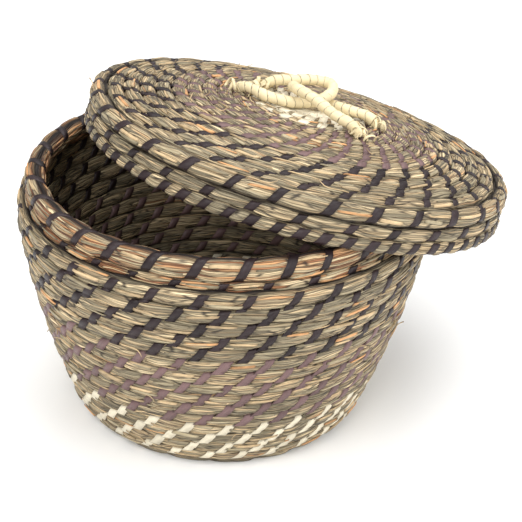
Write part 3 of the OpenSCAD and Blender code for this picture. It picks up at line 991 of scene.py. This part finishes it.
class SEAGRASS_OT_handle(bpy.types.Operator):
    """Adds the two hooked ropes of the handle and the strips that lash their feet down"""

    bl_idname = "seagrass.handle"
    bl_label = "Handle"

    def execute(self, context):
        for side, route, seed in (("left", LEFT_ROUTE, 5), ("right", RIGHT_ROUTE, 8)):
            piece(
                f"handle_rope_{side}", [wrapped_rope(route, seed)], "handle strip", "lid",
                [f"handle_rope_{side}", f"handle_wrap_{side}"], HANDLE_FRAME,
            )
            rng = random.Random(seed)
            loops = []
            for foot in (Vector(route[1]), Vector(route[-2])):
                for turn in range(7):
                    around = math.tau * turn / 7 + rng.uniform(-0.3, 0.3)
                    away = rng.uniform(0.003, 0.009)
                    middle = Vector((
                        foot.x + away * math.cos(around),
                        foot.y + away * math.sin(around),
                        rng.uniform(-0.002, 0.002),
                    ))
                    loops.append(curl(
                        middle, rng.uniform(0.003, 0.0055), rng.uniform(0.0018, 0.0034),
                        rng.uniform(3.4, 5.2), rng.uniform(-0.5, 0.5), around + rng.uniform(0.6, 2.4),
                        rng.uniform(-0.004, 0.004), rng.random(),
                    ))
            piece(
                f"handle_lashing_{side}", loops, "handle strip", "lid", [f"handle_lashing_{side}"],
            )
        return {"FINISHED"}


class SEAGRASS_OT_blades(bpy.types.Operator):
    """Adds single blades of straw that lie proud of the bundles"""

    bl_idname = "seagrass.blades"
    bl_label = "Blades"

    def execute(self, context):
        template = strip_template()
        s = sizes()
        shoulder = Round(
            SHOULDER_RADIUS, SHOULDER_Z, SHOULDER_HALF, SHOULDER_HALF, 0.6,
            s.stitches, 0.5 + s.stitch_step, (-56, 120), s.lean, 200 + s.stitches + int(SHOULDER_HALF * 1e4),
        )
        for body, rounds, place in (
            ("basket", wall_rounds(), None), ("lid", [shoulder, *lid_top_rounds()[:-3]], LID_FRAME)
        ):
            for finish, share, seed in (("pale", 0.6, 300), ("amber", 0.15, 400), ("sage", 0.7, 500)):
                meshes = [blades_round(r, template, share, seed) for r in rounds]
                piece(f"{body}_blades_{finish}", meshes, f"{finish} blade", body, (), place)
            meshes = [blades_round(r, template, 0.12, 600, (0.25, 0.5), 0.006) for r in rounds]
            piece(f"{body}_strays", meshes, "pale blade", body, (), place)
        return {"FINISHED"}


class SEAGRASS_OT_stage(bpy.types.Operator):
    """Adds the floor, the soft lights and the camera"""

    bl_idname = "seagrass.stage"
    bl_label = "Stage"

    def execute(self, context):
        scene = context.scene
        bm = bmesh.new()
        bmesh.ops.create_grid(bm, x_segments=1, y_segments=1, size=6)
        bmesh.ops.translate(bm, verts=bm.verts, vec=(0, 0, -FLOOR_DROP))
        floor = bpy.data.objects.new("floor", mesh_from(bm, "floor"))
        scene.collection.objects.link(floor)
        material = bpy.data.materials.new("floor")
        material.use_nodes = True
        shader = material.node_tree.nodes["Principled BSDF"]
        shader.inputs["Base Color"].default_value = (*colours().floor, 1)
        shader.inputs["Roughness"].default_value = 0.9
        floor.data.materials.append(material)

        world = bpy.data.worlds.new("studio")
        world.use_nodes = True
        world.node_tree.nodes["Background"].inputs["Color"].default_value = (1, 1, 1, 1)
        world.node_tree.nodes["Background"].inputs["Strength"].default_value = 0.5
        scene.world = world
        for name, place, size, power in (
            ("key", (-0.8, -1.5, 1.6), 1.6, 44),
            ("fill", (1.5, -0.7, 0.9), 1.6, 22),
            ("top", (0.1, 0.5, 1.9), 1.5, 26),
        ):
            light = bpy.data.lights.new(name, "AREA")
            light.size = size
            light.energy = power
            lamp = bpy.data.objects.new(name, light)
            lamp.location = place
            lamp.rotation_euler = (LIGHTS_AIM - Vector(place)).to_track_quat("-Z", "Y").to_euler()
            scene.collection.objects.link(lamp)

        scene.view_settings.view_transform = "Standard"
        camera = bpy.data.objects.new("camera", bpy.data.cameras.new("camera"))
        camera.data.sensor_width = 36
        camera.data.lens = CAMERA_LENS
        camera.data.clip_end = 50
        ahead = Vector((0, math.cos(LOOK_DOWN), -math.sin(LOOK_DOWN)))
        camera.location = LOOK_AT - LOOK_FROM * ahead
        roll = Quaternion((0, 0, 1), CAMERA_ROLL)
        camera.rotation_euler = (ahead.to_track_quat("-Z", "Y") @ roll).to_euler()
        scene.collection.objects.link(camera)
        scene.camera = camera
        return {"FINISHED"}


class SEAGRASS_PT_panel(bpy.types.Panel):
    """Lists the sizes, the colours and the pieces"""

    bl_idname = "SEAGRASS_PT_panel"
    bl_label = "Seagrass Basket"
    bl_space_type = "VIEW_3D"
    bl_region_type = "UI"
    bl_category = "Basket"

    def draw(self, context):
        layout = self.layout
        for settings in (context.scene.seagrass_sizes, context.scene.seagrass_colours):
            box = layout.box()
            for name in settings.__annotations__:
                box.prop(settings, name)
        for operator in OPERATORS:
            layout.operator(operator.bl_idname)


OPERATORS = (
    SEAGRASS_OT_base,
    SEAGRASS_OT_wall,
    SEAGRASS_OT_rim,
    SEAGRASS_OT_lid_edge,
    SEAGRASS_OT_lid_top,
    SEAGRASS_OT_handle,
    SEAGRASS_OT_blades,
    SEAGRASS_OT_stage,
)
CLASSES = (SeagrassSizes, SeagrassColours, *OPERATORS, SEAGRASS_PT_panel)


def register():
    for item in CLASSES:
        bpy.utils.register_class(item)
    bpy.types.Scene.seagrass_sizes = PointerProperty(type=SeagrassSizes)
    bpy.types.Scene.seagrass_colours = PointerProperty(type=SeagrassColours)


def unregister():
    del bpy.types.Scene.seagrass_colours
    del bpy.types.Scene.seagrass_sizes
    for item in reversed(CLASSES):
        bpy.utils.unregister_class(item)


def main():
    register()
    make_materials()
    bpy.ops.seagrass.base()
    bpy.ops.seagrass.wall()
    bpy.ops.seagrass.rim()
    bpy.ops.seagrass.lid_edge()
    bpy.ops.seagrass.lid_top()
    bpy.ops.seagrass.handle()
    bpy.ops.seagrass.blades()
    bpy.ops.seagrass.stage()


if __name__ == "__main__":
    main()
